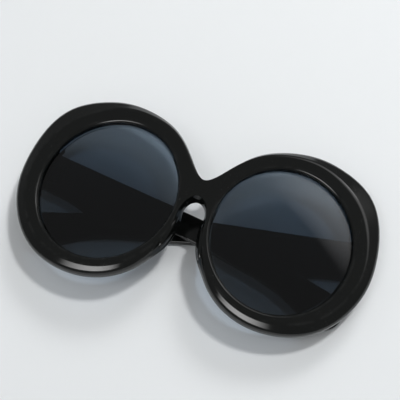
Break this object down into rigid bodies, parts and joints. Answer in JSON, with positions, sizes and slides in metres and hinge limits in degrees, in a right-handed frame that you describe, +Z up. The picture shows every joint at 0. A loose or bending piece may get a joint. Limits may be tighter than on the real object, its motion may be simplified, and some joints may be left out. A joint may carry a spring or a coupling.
{
  "type": "folding oversized sunglasses",
  "caption": "Oversized folding sunglasses: round tinted lenses in broad bevelled rims joined by a low bridge, with flat temples on barrel hinges that fold one over the other.",
  "frame": {"origin": "centre of the bounding box at its base, on the outer side of the left temple, which lies flat", "axes": "+X to the wearer's left along the front, +Y to the brow, +Z up, the way the front of the lenses looks"},
  "size_m": [0.1514, 0.0793, 0.0235],
  "materials": {
    "acetate": "polished black cellulose acetate",
    "lens": "smooth dark blue-grey tinted lens plastic",
    "hinge_metal": "black-plated satin",
    "screw_metal": "turned bright",
    "core_metal": "drawn wire"
  },
  "bodies": {
    "front": {"front_frame": "acetate", "left_lens": "lens", "right_lens": "lens", "left_front_hinge": "hinge_metal", "right_front_hinge": "hinge_metal", "left_hinge_screw": "screw_metal", "right_hinge_screw": "screw_metal"},
    "left_temple": {"left_temple": "acetate", "left_temple_hinge": "hinge_metal", "left_temple_core": "core_metal"},
    "right_temple": {"right_temple": "acetate", "right_temple_hinge": "hinge_metal", "right_temple_core": "core_metal"}
  },
  "joints": [
    {"name": "left_temple_hinge", "type": "hinge", "parent": "front", "child": "left_temple", "pos_m": [0.07029, 0.00327, 0.0048], "axis": [0, -1, 0], "range_deg": [0, 88.65]},
    {"name": "right_temple_hinge", "type": "hinge", "parent": "front", "child": "right_temple", "pos_m": [-0.07057, 0.00327, 0.0081], "axis": [0, 1, 0], "range_deg": [0, 91.34]}
  ]
}
